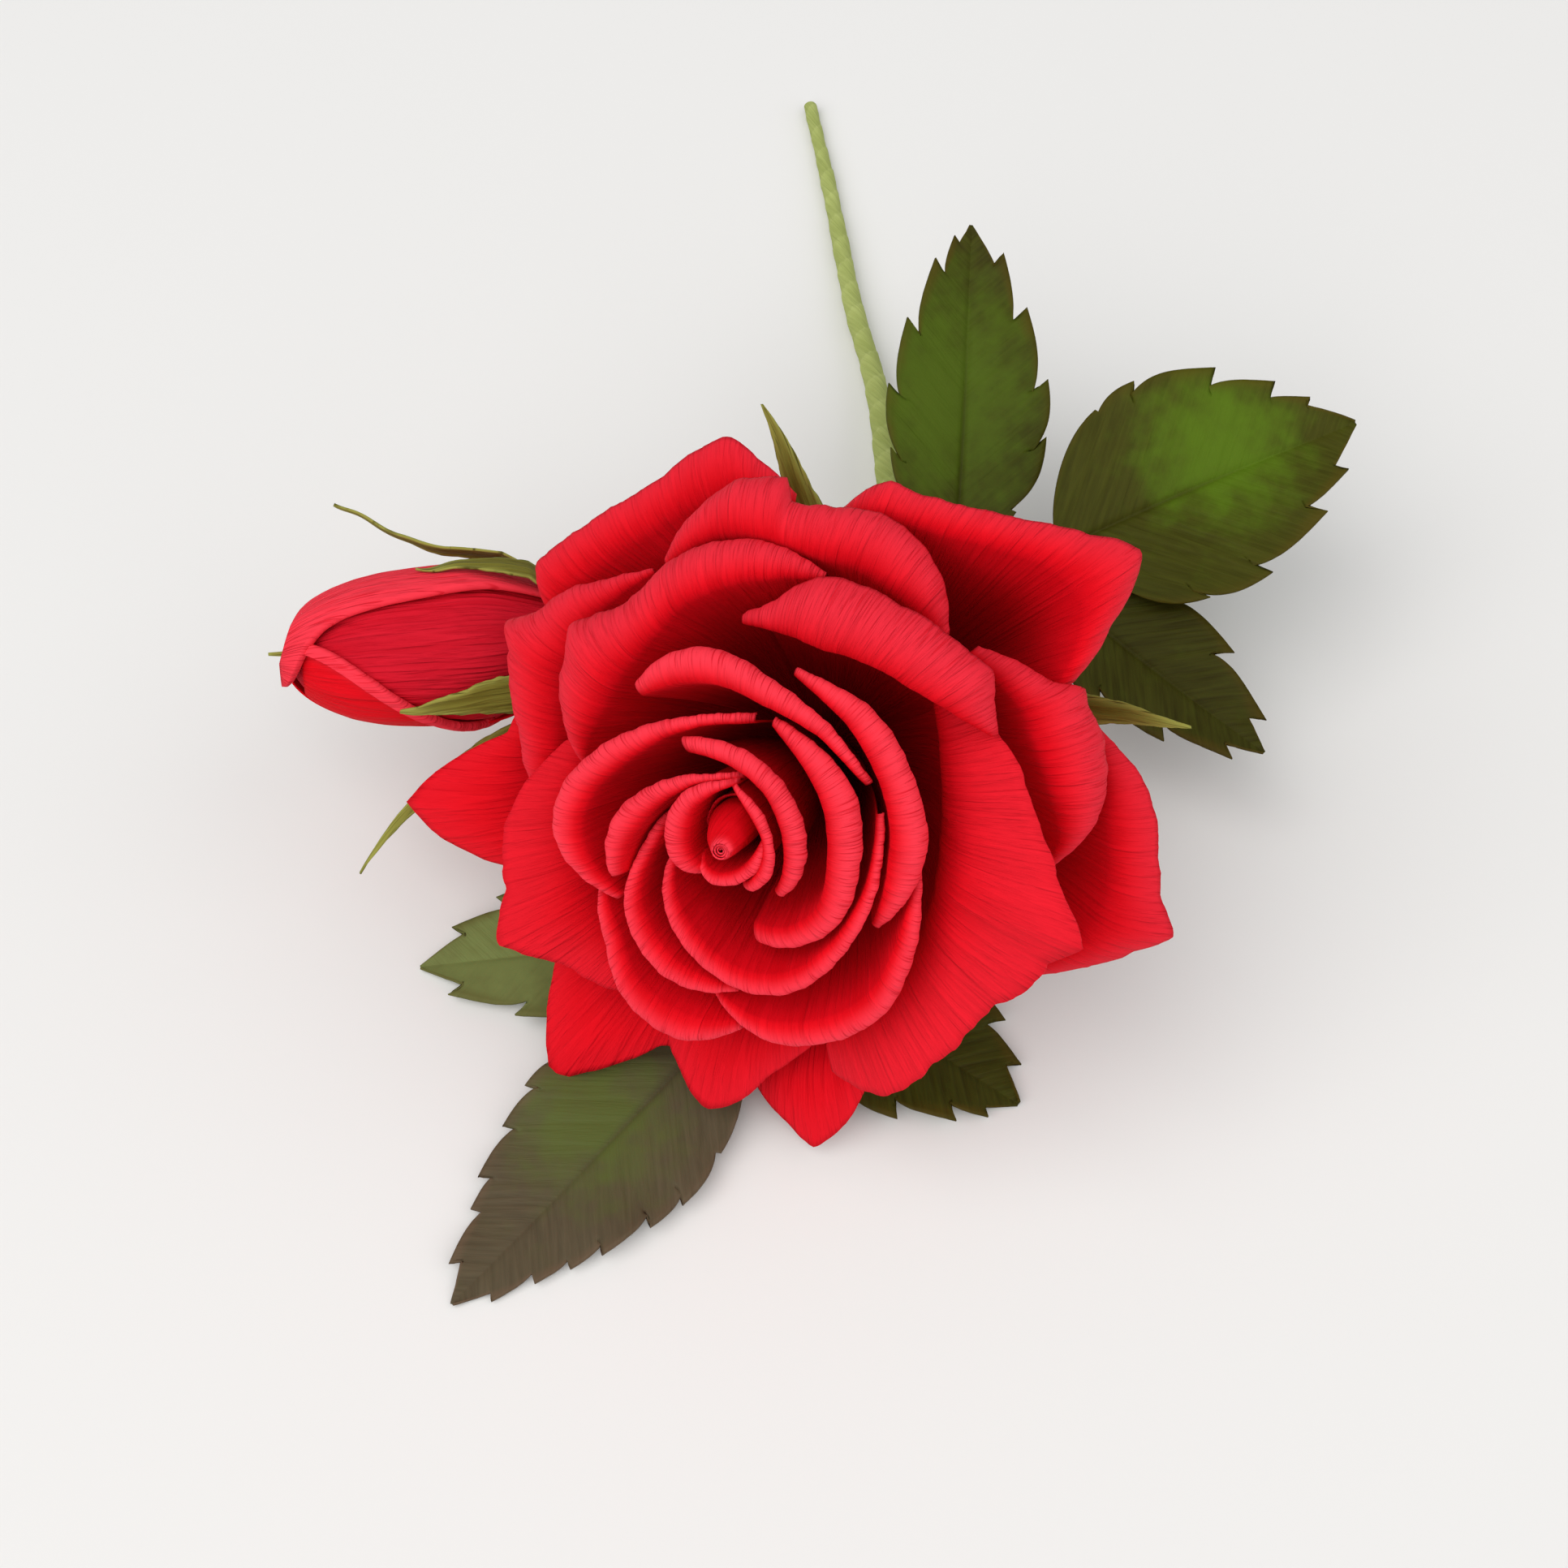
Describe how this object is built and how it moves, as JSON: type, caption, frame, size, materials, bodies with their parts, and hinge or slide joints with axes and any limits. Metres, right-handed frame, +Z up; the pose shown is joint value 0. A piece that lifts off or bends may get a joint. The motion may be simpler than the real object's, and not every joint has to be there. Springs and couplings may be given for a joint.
{
  "type": "crepe paper rose",
  "caption": "Red crepe paper rose lying on its side: an open bloom of cupped petals with rolled rims, a side bud, and toothed leaves on a wire stem wrapped in green crepe.",
  "frame": {"origin": "middle of the bounding box in plan, on the surface the rose lies on", "axes": "+Z up, +Y along the stem towards its cut end, the bloom faces up and towards -Y"},
  "size_m": [0.1764, 0.2572, 0.0909],
  "materials": {
    "crepe_red": "matte crinkled",
    "crepe_stem_green": "matte crinkled",
    "crepe_sepal_olive": "matte crinkled",
    "crepe_leaf_green": "matte crinkled, a little waxy",
    "floral_wire": "bright drawn"
  },
  "bodies": {
    "root": {"core_roll": "crepe_red", "receptacle": "crepe_stem_green", "heart_petal_1": "crepe_red", "heart_petal_2": "crepe_red", "heart_petal_3": "crepe_red", "heart_petal_4": "crepe_red", "inner_petal_1": "crepe_red", "inner_petal_2": "crepe_red", "inner_petal_3": "crepe_red", "inner_petal_4": "crepe_red", "inner_petal_5": "crepe_red", "middle_petal_1": "crepe_red", "middle_petal_2": "crepe_red", "middle_petal_3": "crepe_red", "middle_petal_4": "crepe_red", "middle_petal_5": "crepe_red", "large_petal_1": "crepe_red", "large_petal_2": "crepe_red", "large_petal_3": "crepe_red", "large_petal_4": "crepe_red", "large_petal_5": "crepe_red", "large_petal_6": "crepe_red", "large_petal_7": "crepe_red", "large_petal_8": "crepe_red", "outer_petal_1": "crepe_red", "outer_petal_2": "crepe_red", "outer_petal_3": "crepe_red", "outer_petal_4": "crepe_red", "outer_petal_5": "crepe_red", "outer_petal_6": "crepe_red", "calyx": "crepe_stem_green", "sepal_1": "crepe_sepal_olive", "sepal_2": "crepe_sepal_olive", "sepal_3": "crepe_sepal_olive", "sepal_4": "crepe_sepal_olive", "sepal_5": "crepe_sepal_olive", "stem_wire": "floral_wire", "stem_wrap": "crepe_stem_green", "stem_joint_wrap": "crepe_stem_green", "bud_core": "crepe_red", "bud_petal_1": "crepe_red", "bud_petal_2": "crepe_red", "bud_petal_3": "crepe_red", "bud_calyx": "crepe_stem_green", "bud_sepal_1": "crepe_sepal_olive", "bud_sepal_2": "crepe_sepal_olive", "bud_sepal_3": "crepe_sepal_olive", "bud_sepal_4": "crepe_sepal_olive", "bud_sepal_5": "crepe_sepal_olive", "bud_stem": "crepe_stem_green", "upper_leaf_stalk": "crepe_stem_green", "lower_leaf_stalk": "crepe_stem_green", "upper_leaflet_1": "crepe_leaf_green", "upper_leaflet_2": "crepe_leaf_green", "upper_leaflet_3": "crepe_leaf_green", "lower_leaflet_1": "crepe_leaf_green", "lower_leaflet_2": "crepe_leaf_green", "lower_leaflet_3": "crepe_leaf_green"}
  },
  "joints": []
}
